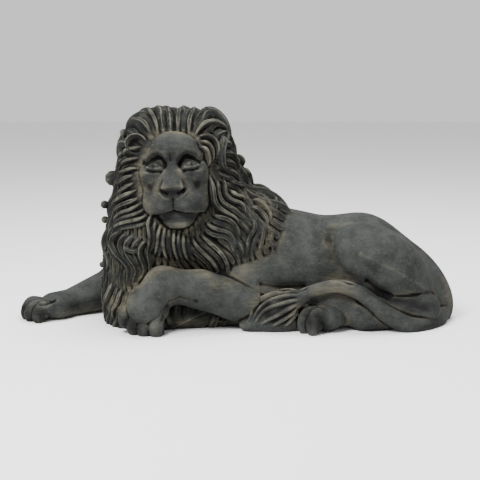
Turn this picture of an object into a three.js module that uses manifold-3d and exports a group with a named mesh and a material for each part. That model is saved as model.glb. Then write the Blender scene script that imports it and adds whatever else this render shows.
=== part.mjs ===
// A lion lying down with its head turned towards the viewer, cast in one solid piece.
// X runs from the forepaws to the rump, -Y is the side that is shown, Z is up.
// Every mass, lock and toe is placed in parts, thousandths of the lion's length.
import * as THREE from "three";
import { mergeVertices } from "three/addons/utils/BufferGeometryUtils.js";
import Module from "manifold-3d";

// The driving size, in millimetres: from the outstretched forepaw to the bend of the tail
const LENGTH = 1100;
const PART = LENGTH / 1000;

const at = (x, y, z) => new THREE.Vector3(x, y, z).multiplyScalar(PART);
const DOWN = new THREE.Vector3(0, 0, -1);
const radians = THREE.MathUtils.degToRad;
const lerp = THREE.MathUtils.lerp;
const clamp = THREE.MathUtils.clamp;

// A form is a function that gives roughly how far a point lies outside it.

// An egg, with its centre, its three radii and its turns about X, Y and Z in degrees
function egg(centre, radii, turns = [0, 0, 0]) {
  const back = new THREE.Quaternion()
    .setFromEuler(new THREE.Euler(...turns.map(radians)))
    .invert();
  const p = new THREE.Vector3();
  return (point) => {
    p.copy(point).sub(centre).applyQuaternion(back).divide(radii);
    const share = p.length();
    const slope = p.divide(radii).length();
    return slope < 1e-9 ? -radii.x : (share * (share - 1)) / slope;
  };
}

// A rounded bar that tapers from one end to the other
function bar(from, to, startRadius, endRadius) {
  const along = to.clone().sub(from);
  const p = new THREE.Vector3();
  return (point) => {
    p.copy(point).sub(from);
    const t = clamp(p.dot(along) / along.lengthSq(), 0, 1);
    return p.addScaledVector(along, -t).length() - lerp(startRadius, endRadius, t);
  };
}

// Two forms run into each other over the width of a fillet
function soften(a, b, fillet) {
  const h = Math.max(fillet - Math.abs(a - b), 0) / fillet;
  return Math.min(a, b) - (h * h * fillet) / 4;
}

function merge(fillet, ...forms) {
  const width = fillet * PART;
  return (point) => forms.reduce((near, form) => soften(near, form(point), width), 1e6);
}

function hollow(fillet, form, ...cuts) {
  const width = fillet * PART;
  return (point) => -cuts.reduce((far, cut) => soften(far, cut(point), width), -form(point));
}

// The direction straight out of a form at a point
function outward(form, point) {
  const step = 0.5 * PART;
  const probe = (x, y, z) =>
    form(point.clone().add(new THREE.Vector3(x, y, z))) -
    form(point.clone().sub(new THREE.Vector3(x, y, z)));
  return new THREE.Vector3(probe(step, 0, 0), probe(0, step, 0), probe(0, 0, step)).normalize();
}

// Moves a point straight onto the surface of a form
function settle(form, point) {
  for (let i = 0; i < 6; i++) point.addScaledVector(outward(form, point), -form(point) * 0.9);
  return point;
}

// Where a ray that starts inside a form leaves it
function exitPoint(form, start, direction, reach) {
  let inside = 0;
  let outside = reach;
  const steps = 60;
  const p = new THREE.Vector3();
  for (let i = 1; i <= steps; i++) {
    const t = (reach * i) / steps;
    if (form(p.copy(start).addScaledVector(direction, t)) > 0) {
      outside = t;
      break;
    }
    inside = t;
  }
  for (let i = 0; i < 12; i++) {
    const t = (inside + outside) / 2;
    if (form(p.copy(start).addScaledVector(direction, t)) > 0) outside = t;
    else inside = t;
  }
  return p.copy(start).addScaledVector(direction, (inside + outside) / 2);
}

// A closed skin, made from a sphere's rows of points, which place() puts where they belong.
// It gets each point's row from 0 to 1, and its unit direction on the sphere.
function skinned(sides, rows, place) {
  const sphere = new THREE.SphereGeometry(1, sides, rows);
  const position = sphere.attributes.position;
  const uv = sphere.attributes.uv;
  for (let i = 0; i < position.count; i++) {
    const direction = new THREE.Vector3().fromBufferAttribute(position, i);
    const p = place(1 - uv.getY(i), direction);
    position.setXYZ(i, p.x, p.y, p.z);
  }
  sphere.deleteAttribute("normal");
  sphere.deleteAttribute("uv");
  return mergeVertices(sphere, 1e-3 * PART);
}

// Wraps a skin round a form, with rays from a line through its inside. The first and the last
// share of the rows fan out round the line's ends, and the others stand square to it.
function wrap(form, [start, end], sides, rows, [firstFan, lastFan] = [0.25, 0.25]) {
  const reach = LENGTH / 2;
  const axis = end.clone().sub(start);
  const forward = axis.clone().normalize();
  const side = new THREE.Vector3(forward.y, -forward.x, 0).normalize();
  if (side.lengthSq() < 0.5) side.set(1, 0, 0);
  const up = side.clone().cross(forward.clone().negate());
  return skinned(sides, rows, (row, round) => {
    const first = Math.min(row / firstFan, 1);
    const last = Math.max((row - 1 + lastFan) / lastFan, 0);
    const tilt = ((first + last) * Math.PI) / 2;
    const along = clamp((row - firstFan) / (1 - firstFan - lastFan), 0, 1);
    const spread = Math.hypot(round.x, round.z) || 1;
    const ray = side
      .clone()
      .multiplyScalar((round.x / spread) * Math.sin(tilt))
      .addScaledVector(up, (round.z / spread) * Math.sin(tilt))
      .addScaledVector(forward, -Math.cos(tilt));
    return exitPoint(form, start.clone().addScaledVector(axis, along), ray, reach);
  });
}

// A strip along a path. width and height give its half sizes along it, and the normals keep
// its flat side to the surface that it lies on. With three sides it has one ridge on top.
function strip(path, normals, width, height, sides, rows) {
  const curve = new THREE.CatmullRomCurve3(path);
  const last = normals.length - 1;
  return skinned(sides, rows, (t, round) => {
    const forward = curve.getTangent(t);
    const i = Math.min(Math.floor(t * last), last - 1);
    const normal = normals[i].clone().lerp(normals[i + 1], t * last - i);
    normal.addScaledVector(forward, -normal.dot(forward)).normalize();
    const across = forward.clone().cross(normal);
    const spread = t < 1e-6 || t > 1 - 1e-6 ? Infinity : Math.hypot(round.x, round.z);
    return curve
      .getPoint(t)
      .addScaledVector(normal, (-round.x * height(t) * PART) / spread)
      .addScaledVector(across, (-round.z * width(t) * PART) / spread);
  });
}

// The trunk: ribs, loin, croup, rump, thighs, shoulder blades and elbows
const both = (make) => [make(1), make(-1)];
const trunk = merge(
  14,
  merge(
    50,
    egg(at(40, 5, 128), at(215, 112, 138)),
    egg(at(190, 5, 116), at(120, 102, 112)),
    egg(at(283, 0, 150), at(88, 80, 96)),
    egg(at(380, 0, 90), at(152, 92, 88), [0, 42, 0]),
    egg(at(14, -86, 70), at(82, 50, 78)),
  ),
  ...both((s) => egg(at(324, s * 84, 134), at(124, 62, 84), [0, 32, 0])),
);
const trunkSkin = wrap(trunk, [at(-40, 0, 100), at(430, 0, 70)], 26, 24, [0.15, 0.3]);
const belly = merge(
  30,
  ...both((s) => bar(at(0, s * 52, 34), at(400, s * 66, 28), 54, 46)),
  egg(at(200, 0, 30), at(250, 60, 50)),
);
const bellySkin = wrap(belly, [at(20, 0, 34), at(390, 0, 28)], 12, 8, [0.25, 0.25]);

// The folded hind legs: from the hock along the ground to the foot
const hindLegs = both((s) => {
  const form = merge(
    20,
    bar(at(420, s * 98, 40), at(290, s * 128, 38), 42, 44),
    egg(at(216, s * 118, 50), at(64, 48, 50), [0, -6, 0]),
  );
  return wrap(form, [at(380, s * 108, 40), at(228, s * 120, 44)], 10, 10, [0.2, 0.3]);
});

// The mass that the mane lies on: crown, neck, withers, breast and the tufts on the ground,
// with a hollow for the face
const maneShape = merge(
  60,
  ...both((s) => egg(at(-139 + s * 43, -28, 384), at(74, 98, 93))),
  egg(at(-98, -6, 300), at(105, 100, 94)),
  egg(at(-166, -24, 226), at(119, 122, 140)),
  egg(at(-20, 0, 187), at(126, 122, 116), [0, 20, 0]),
  egg(at(44, 8, 186), at(88, 92, 84)),
  egg(at(-208, -20, 95), at(86, 100, 120)),
  egg(at(-228, -40, 20), at(66, 88, 80)),
  egg(at(-120, -55, 20), at(110, 84, 54)),
);
const maneMass = hollow(12, maneShape, egg(at(-135, -165, 338), at(76, 80, 104)));
const core = (point) => maneMass(point) + 7 * PART;
const maneSkin = wrap(core, [at(-165, -10, 50), at(-140, -8, 370)], 20, 14);

// The head, in its own axes: X to the viewer's right, -Y out of the face, zero between the eyes
const HEAD = at(-134, -78, 371);
const HEAD_TURN = radians(-2);
const HEAD_TILT = radians(-3);
const onHead = (geometry) =>
  geometry.rotateY(HEAD_TILT).rotateZ(HEAD_TURN).translate(...HEAD.toArray());
const face = hollow(
  9,
  merge(
    12,
    egg(at(0, 20, 8), at(76, 78, 68)),
    egg(at(0, -26, 36), at(50, 34, 32)),
    ...both((s) => egg(at(s * 22, -56, 24), at(20, 17, 10), [0, s * -36, s * 8])),
    ...both((s) => egg(at(s * 50, -42, 24), at(22, 16, 9), [0, s * 34, s * 30])),
    ...both((s) => egg(at(s * 51, -24, -44), at(23, 38, 62), [0, s * 5, 0])),
    egg(at(0, -40, -46), at(40, 50, 56)),
    bar(at(0, -56, 6), at(0, -90, -34), 8, 24),
    ...both((s) => egg(at(s * 27, -80, -78), at(31, 32, 28))),
    egg(at(0, -108, -46), at(27, 14, 10)),
    egg(at(0, -66, -121), at(33, 28, 17)),
    egg(at(0, -14, -95), at(60, 54, 46)),
  ),
  ...both((s) => egg(at(s * 42, -68, 3), at(23, 18, 15), [0, s * 4, 0])),
  ...both((s) => egg(at(s * 22, -72, 0), at(8, 16, 12), [0, s * 20, 0])),
  ...both((s) => egg(at(s * 66, -68, -44), at(13, 22, 26))),
  ...both((s) => egg(at(s * 14, -122, -55), at(9, 10, 5), [0, s * 20, 0])),
  ...both((s) => bar(at(0, -114, -99), at(s * 54, -76, -111), 7, 5)),
  bar(at(0, -116, -62), at(0, -119, -96), 4, 7),
);
// Rays leave a disc inside the head: ahead in the middle, and more and more sideways at its rim
const headSkin = onHead(
  skinned(40, 24, (row, round) => {
    const share = clamp(row / 0.82, 0, 1);
    const spread = Math.hypot(round.x, round.z) || 1;
    const x = (round.x / spread) * share;
    const z = (-round.z / spread) * share;
    if (row > 0.83) return at(x * 280 * (1 - row), 30 * row, -42 + z * 400 * (1 - row));
    const tilt = radians(82) * share ** 3;
    const aside = new THREE.Vector3(x, 0, z).normalize().multiplyScalar(Math.sin(tilt));
    const ray = aside.add(new THREE.Vector3(0, -Math.cos(tilt), 0));
    return exitPoint(face, at(x * 58, -18 - 12 * (1 - share), -42 + z * 84), ray, LENGTH / 8);
  }),
);
const eyes = both((s) =>
  onHead(wrap(egg(at(s * 42, -46, 0), at(17, 14, 10)), [at(s * 42, -48, 0), at(s * 42, -44, 0)], 8, 6)),
);
const ears = both((s) => {
  const centre = at(-137 + s * 86, -118, 412);
  const cup = centre.clone().add(at(s * 5, -18, -2));
  const shell = hollow(4, egg(centre, at(27, 20, 25)), egg(cup, at(18, 20, 17)));
  return wrap(shell, [centre, centre.clone().add(at(0, 6, 0))], 10, 8);
});

// The forelegs: the near one is bent over its wrist, and the far one is stretched out
const nearForeleg = merge(
  16,
  bar(at(20, -106, 56), at(-80, -142, 94), 50, 41),
  bar(at(-80, -142, 94), at(-162, -160, 108), 41, 38),
  bar(at(-162, -162, 108), at(-198, -176, 60), 40, 44),
);
const nearForelegSkin = wrap(nearForeleg, [at(0, -112, 62), at(-158, -158, 100)], 14, 14, [0.15, 0.35]);
const farForeleg = merge(
  16,
  bar(at(-200, 110, 90), at(-275, 112, 68), 60, 54),
  bar(at(-275, 106, 58), at(-395, 14, 30), 54, 32),
  egg(at(-422, -6, 28), at(40, 44, 32), [0, 0, 30]),
);
const farForelegSkin = wrap(farForeleg, [at(-230, 112, 76), at(-400, 22, 36)], 12, 12, [0.15, 0.3]);

// A paw has a rounded back and four toes that bend down over their knuckles. It starts at
// the wrist; ahead is the way that it points, and upper is the way that its back looks.
function paw(wrist, ahead, upper, length, width, thick) {
  const forward = ahead.clone().normalize();
  const up = upper.clone().addScaledVector(forward, -upper.dot(forward)).normalize();
  const side = forward.clone().cross(up);
  const place = (a, s, u) =>
    wrist
      .clone()
      .addScaledVector(forward, a * length * PART)
      .addScaledVector(side, s * width * PART)
      .addScaledVector(up, u * thick * PART);
  const back = skinned(8, 5, (row, round) =>
    place(0.32 + 0.5 * round.y, 0.47 * round.x, -0.1 + 0.48 * round.z),
  );
  const toes = [-0.36, -0.12, 0.12, 0.36].map((s) => {
    const reach = 1 - 0.9 * s * s;
    const path = [
      place(0.2, s * 0.75, 0.05),
      place(0.55, s * 0.95, 0.24),
      place(0.82 * reach, s * 1.04, 0.16),
      place(0.98 * reach, s * 1.06, -0.14),
      place(0.98 * reach, s * 1.06, -0.4),
      place(0.95 * reach, s * 1.06, -0.48),
    ];
    const normals = path.map(() => side);
    const radius = (t) => width * (0.17 - 0.05 * t * t);
    return strip(path, normals, radius, radius, 6, 5);
  });
  return [back, ...toes];
}
const paws = [
  ...paw(at(-398, 10, 28), at(-1, -0.55, -0.05), at(0, 0, 1), 98, 98, 52),
  ...paw(at(-184, -166, 98), at(-0.34, -0.2, -1), at(-0.35, -1, 0.1), 100, 100, 70),
  ...paw(at(230, -120, 50), at(-1, -0.3, -0.1), at(0, 0, 1), 90, 92, 92),
  ...paw(at(230, 120, 50), at(-1, 0.3, -0.1), at(0, 0, 1), 90, 92, 92),
];

// The tail comes round the rump along the ground, and crosses the hind foot to its tuft
const tailPath = [
  at(430, 40, 90), at(462, 10, 56), at(462, -52, 24), at(430, -112, 19), at(386, -146, 20),
  at(329, -160, 48), at(274, -160, 90), at(219, -162, 106), at(160, -160, 94), at(110, -150, 74),
];
const tailRadius = (t) => 30 - 16 * Math.min(1, t * 1.2);
const tail = strip(tailPath, tailPath.map(() => at(0.02, -0.03, 1)), tailRadius, tailRadius, 8, 22);
const tuft = [0, 1, 2, 3, 4].map((i) => {
  const s = i / 4;
  const path = [
    at(165, -158, 94 - 4 * s), at(130, -160, 88 - 20 * s), at(95, -160, 78 - 34 * s),
    at(62 - 5 * s, -160, 62 - 36 * s), at(42 + 12 * s, -158, 36 - 24 * s), at(22 + 36 * s, -160, 12),
  ];
  const width = (t) => 17 - 10 * t;
  const height = (t) => 14 - 6 * t;
  return strip(path, path.map(() => at(0.1, -1, 0.3)), width, height, 4, 8);
});

const skins = [
  trunkSkin, bellySkin, ...hindLegs, maneSkin, headSkin, ...eyes, ...ears, nearForelegSkin,
  farForelegSkin, ...paws, tail, ...tuft,
];

// Hair flows away from the face, back over the crown, and down
const FACE = at(-136, -150, 335);
const FACE_HALF_WIDTH = 78 * PART;
const FACE_HALF_HEIGHT = 104 * PART;
function hairFlow(point, normal) {
  const away = point.clone().sub(FACE);
  const gone = clamp(away.length() / (260 * PART), 0, 1);
  away.y *= 0.5;
  away.normalize();
  const crown = clamp(away.z, 0, 1);
  away.addScaledVector(DOWN, 0.2 + 1.1 * gone - 0.3 * crown);
  away.y += 0.5 * crown;
  return away.addScaledVector(normal, -away.dot(normal)).normalize();
}
function hairPath(start, length, steps, bend) {
  const p = settle(maneMass, start.clone());
  const path = [p.clone()];
  const normals = [outward(maneMass, p)];
  for (let i = 0; i < steps; i++) {
    const normal = normals[i];
    const way = hairFlow(p, normal).applyAxisAngle(normal, bend((i + 0.5) / steps));
    settle(maneMass, p.addScaledVector(way, length / steps));
    path.push(p.clone());
    normals.push(outward(maneMass, p));
  }
  return { path, normals };
}

// The mane is one rippled skin. Each of its columns follows the flow of the hair from the rim
// of the face, with a slow wave, and every second one is the ridge of a lock.
const COLUMNS = 108;
const ROWS = 25;
const hairLines = Array.from({ length: COLUMNS }, (_, i) => {
  const u = (2 * Math.PI * i) / COLUMNS;
  const turn = u + 0.2 * Math.sin(2 * u);
  const rim = FACE.clone().add(
    new THREE.Vector3(
      Math.sin(turn) * FACE_HALF_WIDTH,
      (25 + 25 * Math.cos(turn)) * PART,
      Math.cos(turn) * FACE_HALF_HEIGHT,
    ),
  );
  const leftCrown = Math.max(0, -Math.sin(turn)) * Math.max(0, Math.cos(turn) + 0.35);
  const reach = 320 + 80 * Math.cos(turn) + 30 * Math.sin(turn) - 130 * leftCrown;
  const { path, normals } = hairPath(rim, reach * PART, ROWS - 3, () => 0);
  return path.map((p, k) => {
    const t = k / (ROWS - 3);
    const way = hairFlow(p, normals[k]).cross(normals[k]);
    const wave = 15 * Math.min(1, 4 * t) * Math.sin((reach * t) / 25 + 1.5 * Math.sin(2 * turn));
    const swell = Math.sin(Math.PI * (t * 3.3 + (i % 4 < 2 ? 0 : 0.5))) ** 2;
    const ridge = (i % 2 ? 2 : 9 + 8 * swell) * Math.min(1, 0.2 + 8 * t);
    const waved = settle(maneMass, p.clone().addScaledVector(way, wave * PART));
    return waved.addScaledVector(outward(maneMass, waved), ridge * PART);
  });
});
const hair = skinned(COLUMNS, ROWS, (row, round) => {
  if (row < 1e-6) return at(-136, -90, 335);
  if (row > 1 - 1e-6) return at(-120, -10, 200);
  const turn = Math.atan2(-round.z, -round.x) / (2 * Math.PI);
  const column = (Math.round(turn * COLUMNS) + COLUMNS) % COLUMNS;
  return hairLines[column][Math.min(Math.round(row * ROWS) - 1, ROWS - 3)].clone();
});

// The far side of the neck and the breast has plainer and wider locks
const taper = (t) => Math.min(1, Math.sqrt(t / 0.15)) * (1 - 0.75 * Math.pow(t, 2.2));
function lock(start, length, width, height, wave, phase) {
  const rows = 8;
  const bend = (t) => radians(wave) * (0.6 + 0.9 * t) * Math.sin(2 * Math.PI * (t * 1.1 + phase));
  const { path, normals } = hairPath(start, length * PART, rows, bend);
  path.forEach((p, i) => p.addScaledVector(normals[i], PART * 3 * Math.sin((i / rows) * 3)));
  return strip(path, normals, (t) => width * taper(t), (t) => height * taper(t), 3, rows);
}
const locks = [];
for (const [row, high] of [350, 270, 190].entries()) {
  for (let i = 0; i < 5; i++) {
    const turn = radians(35 + 28 * (i + (row % 2) * 0.5));
    const start = at(-110 + 140 * Math.cos(turn), 140 * Math.sin(turn), high);
    locks.push(lock(start, 130, 25, 15, 34, 0.3 * row));
  }
}

const wasm = await Module();
wasm.setup();

function solid(geometry) {
  return new wasm.Manifold(
    new wasm.Mesh({
      numProp: 3,
      vertProperties: Float32Array.from(geometry.attributes.position.array),
      triVerts: Uint32Array.from(geometry.index.array),
    }),
  );
}

// Everything below the ground is cut off flat
const depth = new THREE.BoxGeometry(2 * LENGTH, 2 * LENGTH, LENGTH).translate(0, 0, -LENGTH / 2);
depth.deleteAttribute("normal");
depth.deleteAttribute("uv");
const body = [...skins, hair, ...locks]
  .map(solid)
  .reduce((sum, piece) => sum.add(piece))
  .subtract(solid(mergeVertices(depth)))
  .getMesh();

// The outer skin alone: the faces that hang together with the first point. The pockets that
// the locks seal off under them are filled.
function outerFaces(triangles, start) {
  const around = new Map();
  for (let i = 0; i < triangles.length; i++) {
    if (!around.has(triangles[i])) around.set(triangles[i], []);
    around.get(triangles[i]).push(Math.floor(i / 3));
  }
  const seen = new Set([start]);
  const faces = new Set();
  for (const v of seen) {
    for (const i of around.get(v)) {
      faces.add(i);
      for (let k = 0; k < 3; k++) seen.add(triangles[3 * i + k]);
    }
  }
  return [...faces].map((i) => [...triangles.slice(3 * i, 3 * i + 3)]);
}

// The joins leave short edges and slivers. The two ends of such an edge become one point,
// where the surface stays closed and no face turns by more than a little.
function merged(mesh, longestAt, mostTurn) {
  const points = [];
  for (let i = 0; i < mesh.vertProperties.length; i += 3) {
    points.push(new THREE.Vector3().fromArray(mesh.vertProperties, i));
  }
  const farthest = points.reduce((most, p, i) => (p.x > points[most].x ? i : most), 0);
  const faces = outerFaces(mesh.triVerts, farthest);
  const around = points.map(() => new Set());
  faces.forEach((face, i) => face.forEach((v) => around[v].add(i)));
  const ring = (v) => new Set([...around[v]].flatMap((i) => faces[i]));
  const face = new THREE.Triangle();
  const normal = (corners) => face.set(...corners).getNormal(new THREE.Vector3());
  const leastCos = Math.cos(radians(mostTurn));
  const fits = (i, gone, kept, target) => {
    const smallest = 0.02 * longestAt(target) ** 2;
    const before = faces[i].map((v) => points[v]);
    const after = faces[i].map((v) => (v === gone || v === kept ? target : points[v]));
    const was = normal(before);
    const sliver = face.set(...before).getArea() < smallest;
    const now = normal(after);
    if (face.set(...after).getArea() < smallest) return sliver && now.dot(was) > 0;
    return now.dot(was) > (sliver ? 0.3 : leastCos);
  };
  function join(kept, gone) {
    const shared = [...around[kept]].filter((i) => around[gone].has(i));
    const common = [...ring(kept)].filter((v) => v !== kept && v !== gone && ring(gone).has(v));
    if (shared.length !== 2 || common.length !== 2) return false;
    const others = [...around[kept], ...around[gone]].filter((i) => !shared.includes(i));
    const middle = points[kept].clone().lerp(points[gone], 0.5);
    const target = [middle, points[kept].clone(), points[gone].clone()].find((p) =>
      others.every((i) => fits(i, gone, kept, p)),
    );
    if (!target) return false;
    points[kept].copy(target);
    shared.forEach((i) => {
      faces[i].forEach((v) => around[v].delete(i));
      faces[i] = null;
    });
    around[gone].forEach((i) => {
      faces[i] = faces[i].map((v) => (v === gone ? kept : v));
      around[kept].add(i);
    });
    around[gone].clear();
    return true;
  }
  for (const share of [0.25, 0.5, 0.75, 1, 1, 1]) {
    for (let i = 0; i < faces.length; i++) {
      for (let k = 0; k < 3 && faces[i]; k++) {
        const [a, b] = [faces[i][k], faces[i][(k + 1) % 3]];
        if (points[a].distanceTo(points[b]) < longestAt(points[a]) * share) join(a, b);
      }
    }
  }
  const used = points.map((_, v) => v).filter((v) => around[v].size > 0);
  const place = new Map(used.map((v, i) => [v, i]));
  const index = faces.filter(Boolean).flatMap((corners) => corners.map((v) => place.get(v)));
  return new THREE.BufferGeometry().setFromPoints(used.map((v) => points[v])).setIndex(index);
}
const geometry = merged(body, (p) => (p.distanceTo(FACE) < 115 * PART ? 4 : 10) * PART, 13);
geometry.computeBoundingBox();
const middle = geometry.boundingBox.getCenter(new THREE.Vector3());
geometry.translate(-middle.x, -middle.y, 0);

const stone = new THREE.MeshStandardMaterial({ color: 0x3b3e3f, roughness: 0.8, metalness: 0 });
const lion = new THREE.Mesh(geometry, stone);
lion.name = "lion";
const statue = new THREE.Group();
statue.add(lion);
export default statue;
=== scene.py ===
import math

import bmesh
import bpy
import numpy as np
from mathutils import Euler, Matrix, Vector


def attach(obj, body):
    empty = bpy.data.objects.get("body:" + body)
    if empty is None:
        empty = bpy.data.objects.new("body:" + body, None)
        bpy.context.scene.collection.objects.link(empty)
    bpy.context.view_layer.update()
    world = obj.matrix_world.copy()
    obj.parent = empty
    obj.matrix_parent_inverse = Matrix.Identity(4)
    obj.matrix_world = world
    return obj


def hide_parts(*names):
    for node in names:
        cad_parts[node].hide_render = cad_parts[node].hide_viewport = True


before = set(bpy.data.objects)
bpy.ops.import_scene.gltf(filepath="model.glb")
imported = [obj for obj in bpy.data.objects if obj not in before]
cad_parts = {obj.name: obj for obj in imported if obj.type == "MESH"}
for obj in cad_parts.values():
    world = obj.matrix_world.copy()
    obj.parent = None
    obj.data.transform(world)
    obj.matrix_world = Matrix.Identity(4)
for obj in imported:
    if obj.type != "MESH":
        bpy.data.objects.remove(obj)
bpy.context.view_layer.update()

# Trunk: ribs, loin, croup, rump, thighs and near shoulder, of solid stone, with the belly on the
# ground. It is made of rounded masses that run into each other, under one skin, in parts:
# thousandths of the lion's length, as in the solid. The middle of its box comes to the origin.
PART = 0.0011
MIDDLE = np.array([1.18, -15.13, 0.0])
DETAIL = 1.0
casting = bmesh.new()


def egg(centre, radii, turns=(0, 0, 0)):
    """Roughly how far points lie outside an egg with these radii, turned about X, Y and Z."""
    turned = np.array(Euler([math.radians(t) for t in turns], "ZYX").to_matrix())
    centre, radii = np.array(centre, float), np.array(radii, float)

    def outside(points):
        local = (points - centre) @ turned / radii
        share = np.sqrt(np.einsum("ij,ij->i", local, local))
        steep = local / radii
        slope = np.sqrt(np.einsum("ij,ij->i", steep, steep))
        return np.where(slope < 1e-9, -radii[0], share * (share - 1) / np.maximum(slope, 1e-9))

    return outside


def bar(start, end, start_radius, end_radius):
    """Roughly how far points lie outside a rounded bar that tapers."""
    start = np.array(start, float)
    along = np.array(end, float) - start

    def outside(points):
        t = np.clip((points - start) @ along / (along @ along), 0, 1)
        gap = points - start - t[:, None] * along
        return np.sqrt(np.einsum("ij,ij->i", gap, gap)) - (
            start_radius + (end_radius - start_radius) * t
        )

    return outside


def soften(a, b, fillet):
    """The nearer of two forms, which run into each other over a fillet."""
    h = np.maximum(fillet - np.abs(a - b), 0) / fillet
    return np.minimum(a, b) - h * h * fillet / 4


def merge(fillet, *forms):
    """One form out of several, which run into each other over a fillet."""

    def outside(points):
        near = forms[0](points)
        for form in forms[1:]:
            near = soften(near, form(points), fillet)
        return near

    return outside


def hollow(fillet, form, *cuts):
    """A form that others are cut out of, with a fillet round the edge of each cut."""

    def outside(points):
        far = -form(points)
        for cut in cuts:
            far = soften(far, cut(points), fillet)
        return -far

    return outside


def both(make):
    """The same form on the near and the far side, or left and right."""
    return [make(1), make(-1)]


def unit(v):
    """The same direction with a length of 1."""
    v = np.array(v, float)
    return v / np.linalg.norm(v)


MOST_STEPS = 80
STEP_SHARE = 0.6
SHORTEST_STEP = 0.7
HALVINGS = 8


def exit_points(form, starts, rays, reach):
    """Where rays that start inside a form first leave it. Each goes ahead by a share of its gap
    to the surface until it is out, and the last step is then halved again and again."""
    inside = np.zeros(len(starts))
    outside = np.full(len(starts), float(reach))
    going = np.arange(len(starts))
    for _ in range(MOST_STEPS):
        gap = -form(starts[going] + rays[going] * inside[going, None])
        step = np.maximum(gap * STEP_SHARE, SHORTEST_STEP)
        ahead = inside[going] + step
        out = form(starts[going] + rays[going] * ahead[:, None]) > 0
        outside[going[out]] = ahead[out]
        inside[going[~out]] = ahead[~out]
        going = going[~out & (ahead < reach)]
        if len(going) == 0:
            break
    for _ in range(HALVINGS):
        t = (inside + outside) / 2
        out = form(starts + rays * t[:, None]) > 0
        outside = np.where(out, t, outside)
        inside = np.where(out, inside, t)
    return starts + rays * ((inside + outside) / 2)[:, None]


def add_skin(sides, rows, place):
    """Adds a closed skin to the casting: a grid that closes on itself. place() gets each point's
    row, from 0 to 1, and the cosine and sine of its turn, and says where the point belongs."""
    sides, rows = int(sides * DETAIL), int(rows * DETAIL)
    grid = bmesh.new()
    bmesh.ops.create_grid(grid, x_segments=sides, y_segments=rows, size=1)
    flat = np.array([v.co for v in grid.verts])
    row = (flat[:, 1] + 1) / 2
    column = np.round((flat[:, 0] + 1) / 2 * sides) % sides
    turn = 2 * math.pi * column / sides
    placed = np.array(place(row, np.cos(turn), np.sin(turn)))
    for v, co in zip(grid.verts, (placed - MIDDLE) * PART):
        v.co = co
    bmesh.ops.remove_doubles(grid, verts=grid.verts, dist=1e-6)
    bmesh.ops.recalc_face_normals(grid, faces=grid.faces)
    mesh = bpy.data.meshes.new("skin")
    grid.to_mesh(mesh)
    grid.free()
    casting.from_mesh(mesh)
    bpy.data.meshes.remove(mesh)


FAR = 500


def add_wrap(form, start, end, sides, rows, first_fan=0.25, last_fan=0.25):
    """Wraps a skin round a form, with rays from a line through its inside, as in the solid. The
    first and last rows fan out from the ends of the line, to close the skin."""
    start, end = np.array(start, float), np.array(end, float)
    forward = unit(end - start)
    side = np.array([forward[1], -forward[0], 0])
    side = unit(side) if np.linalg.norm(side) > 1e-3 else np.array([1.0, 0, 0])
    up = np.cross(side, -forward)

    def place(row, c, s):
        first = np.minimum(row / first_fan, 1)
        last = np.maximum((row - 1 + last_fan) / last_fan, 0)
        tilt = (first + last) * math.pi / 2
        along = np.clip((row - first_fan) / (1 - first_fan - last_fan), 0, 1)
        rays = (
            np.outer(c * np.sin(tilt), side)
            + np.outer(s * np.sin(tilt), up)
            - np.outer(np.cos(tilt), forward)
        )
        return exit_points(form, start + along[:, None] * (end - start), rays, FAR)

    add_skin(sides, rows, place)


trunk = merge(
    30,
    merge(
        50,
        egg((40, 5, 128), (215, 112, 138)),  # ribs
        egg((190, 5, 116), (120, 102, 112)),  # loin
        egg((283, 0, 150), (88, 80, 96)),  # croup
        egg((380, 0, 90), (152, 92, 88), (0, 42, 0)),  # rump
        egg((14, -86, 70), (82, 50, 78)),  # near shoulder
    ),
    *both(lambda s: egg((324, s * 84, 134), (124, 62, 84), (0, 32, 0))),  # thighs
)
add_wrap(trunk, (-40, 0, 100), (430, 0, 70), 180, 150, 0.15, 0.3)
belly = merge(
    30,
    *both(lambda s: bar((0, s * 52, 34), (400, s * 66, 28), 54, 46)),
    egg((200, 0, 30), (250, 60, 50)),
)
add_wrap(belly, (20, 0, 34), (390, 0, 28), 60, 60)

# Hind legs: cast in one with the trunk, and folded beside the belly, with the foot forward on the
# ground. Each is a bar for the shank that runs into an egg for the foot
for s in (1, -1):
    hind_leg = merge(
        20,
        bar((420, s * 98, 40), (290, s * 128, 38), 42, 44),
        egg((216, s * 118, 50), (64, 48, 50), (0, -6, 0)),
    )
    add_wrap(hind_leg, (380, s * 108, 40), (228, s * 120, 44), 60, 60, 0.2, 0.3)

# Forelegs: of the same casting, in bars that taper and run into each other. The near one is bent
# over its wrist, and the far one is stretched out from under the breast
near_foreleg = merge(
    16,
    bar((20, -106, 56), (-80, -142, 94), 50, 41),
    bar((-80, -142, 94), (-162, -160, 108), 41, 38),
    bar((-162, -162, 108), (-198, -176, 60), 40, 44),
)
add_wrap(near_foreleg, (0, -112, 62), (-158, -158, 100), 90, 90, 0.15, 0.35)
far_foreleg = merge(
    16,
    bar((-200, 110, 90), (-275, 112, 68), 60, 54),
    bar((-275, 106, 58), (-395, 14, 30), 54, 32),
    egg((-422, -6, 28), (40, 44, 32), (0, 0, 30)),
)
add_wrap(far_foreleg, (-230, 112, 76), (-400, 22, 36), 90, 90, 0.15, 0.3)


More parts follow.
